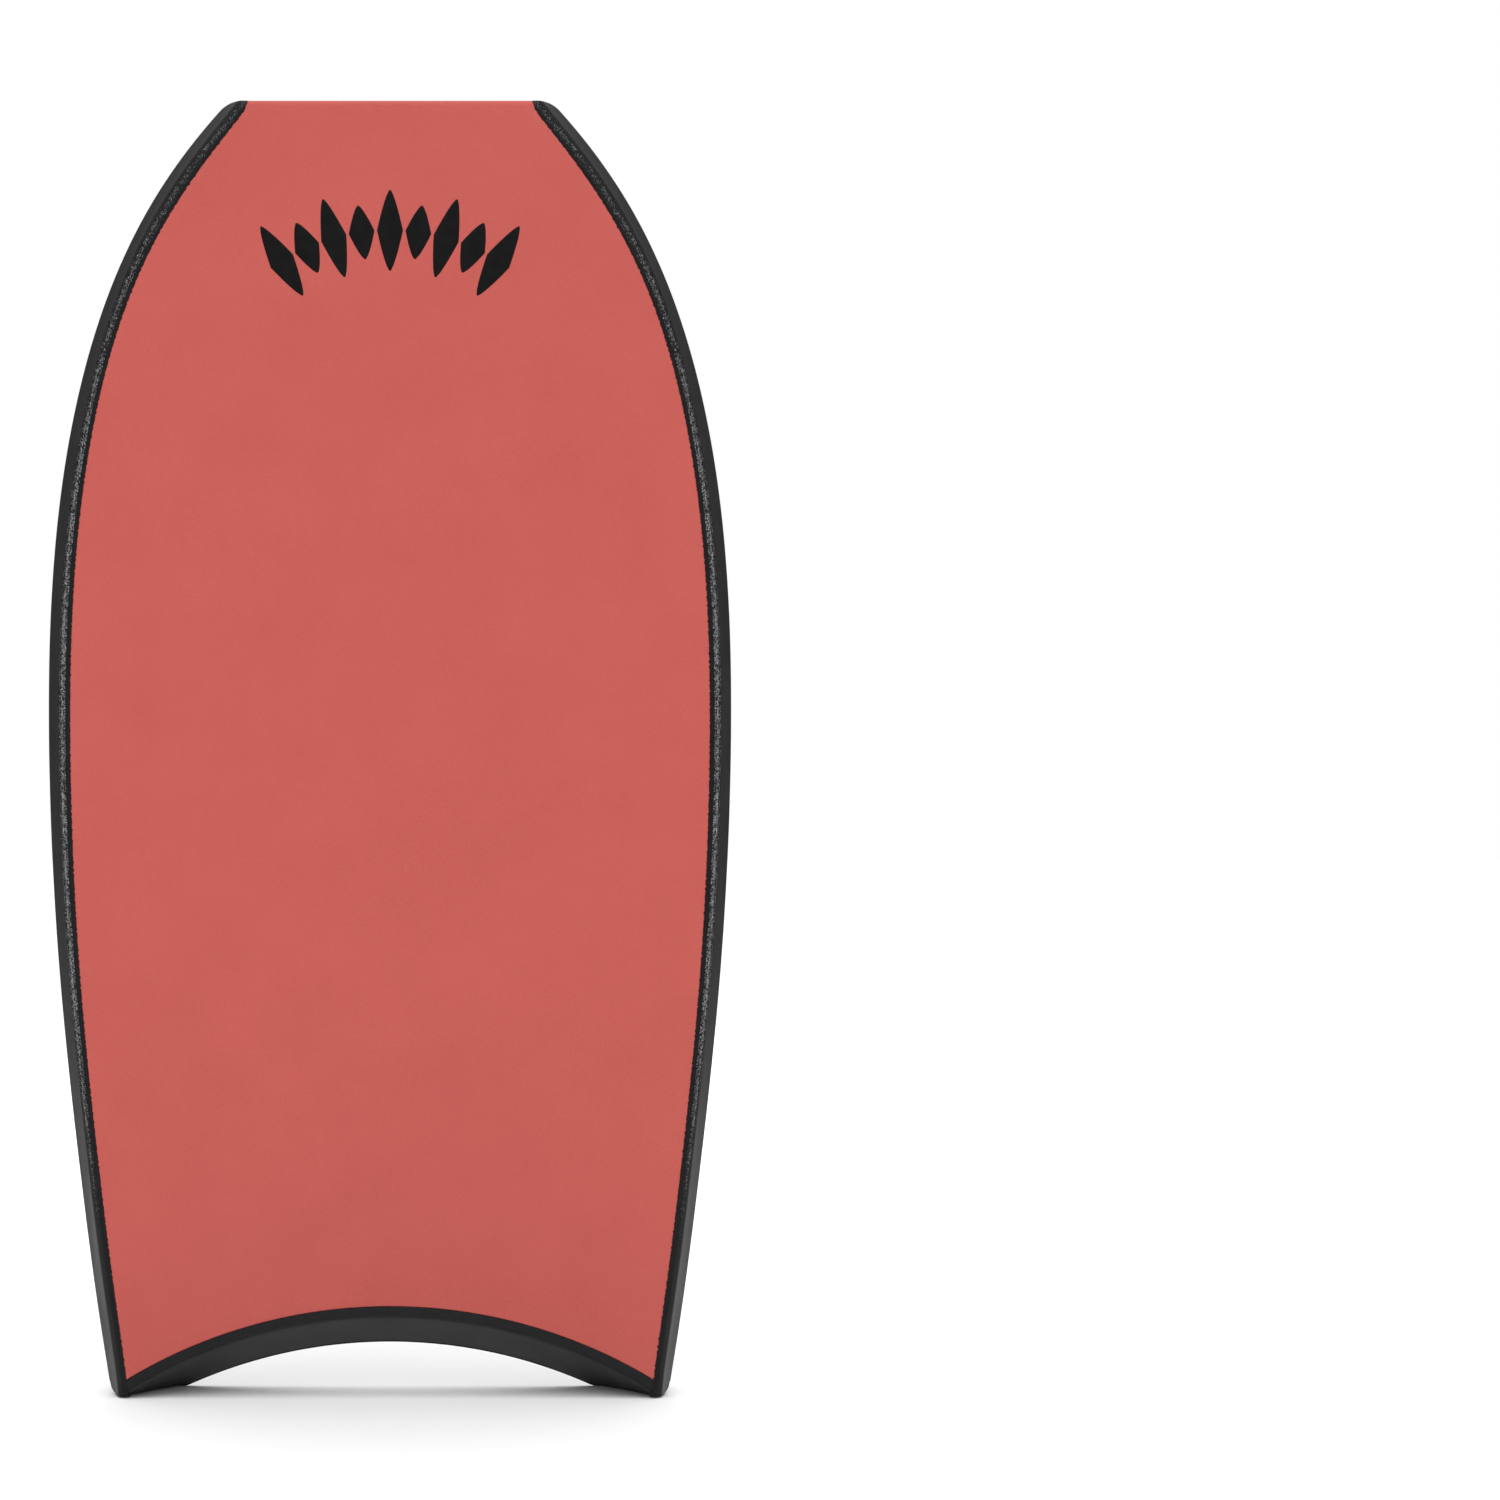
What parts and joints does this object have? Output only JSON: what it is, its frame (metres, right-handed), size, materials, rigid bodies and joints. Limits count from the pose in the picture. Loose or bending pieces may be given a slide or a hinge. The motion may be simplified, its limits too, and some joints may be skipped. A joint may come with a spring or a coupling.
{
  "type": "bodyboard",
  "caption": "Rigid foam bodyboard with a crescent tail, faceted rails, a matte deck skin and a smooth slick underside.",
  "frame": {"origin": "on the floor under the middle of the board, which stands upright on its tail tips", "axes": "+Z from the tail to the nose, +X to the rider's right, the deck faces -Y and the slick faces +Y"},
  "size_m": [0.5662, 0.0598, 1.067],
  "materials": {
    "deck_foam": "matte closed-cell foam with a fine pebble",
    "rail_foam": "smooth satin foam",
    "chine_foam": "textured closed-cell foam",
    "slick_sheet": "semi-gloss sheet",
    "core_foam": "expanded bead foam",
    "mesh_film": "laminated mesh film",
    "stringer_carbon": "wound carbon tube",
    "plug_rubber": "moulded",
    "deck_print": "printed ink",
    "slick_print": "printed ink",
    "tail_print": "printed ink"
  },
  "bodies": {
    "root": {"deck_skin": "deck_foam", "deck_mesh": "mesh_film", "foam_core": "core_foam", "bottom_mesh": "mesh_film", "slick": "slick_sheet", "stringer_tube": "stringer_carbon", "stringer_plug_nose": "plug_rubber", "stringer_plug_tail": "plug_rubber", "rail_upper_left": "rail_foam", "rail_upper_right": "rail_foam", "rail_lower_left": "rail_foam", "rail_lower_right": "rail_foam", "deck_chine_left": "chine_foam", "deck_chine_right": "chine_foam", "slick_chine_left": "chine_foam", "slick_chine_right": "chine_foam", "tail_skin": "rail_foam", "tail_deck_trim": "chine_foam", "tail_slick_trim": "chine_foam", "nose_trim": "chine_foam"}
  },
  "joints": []
}
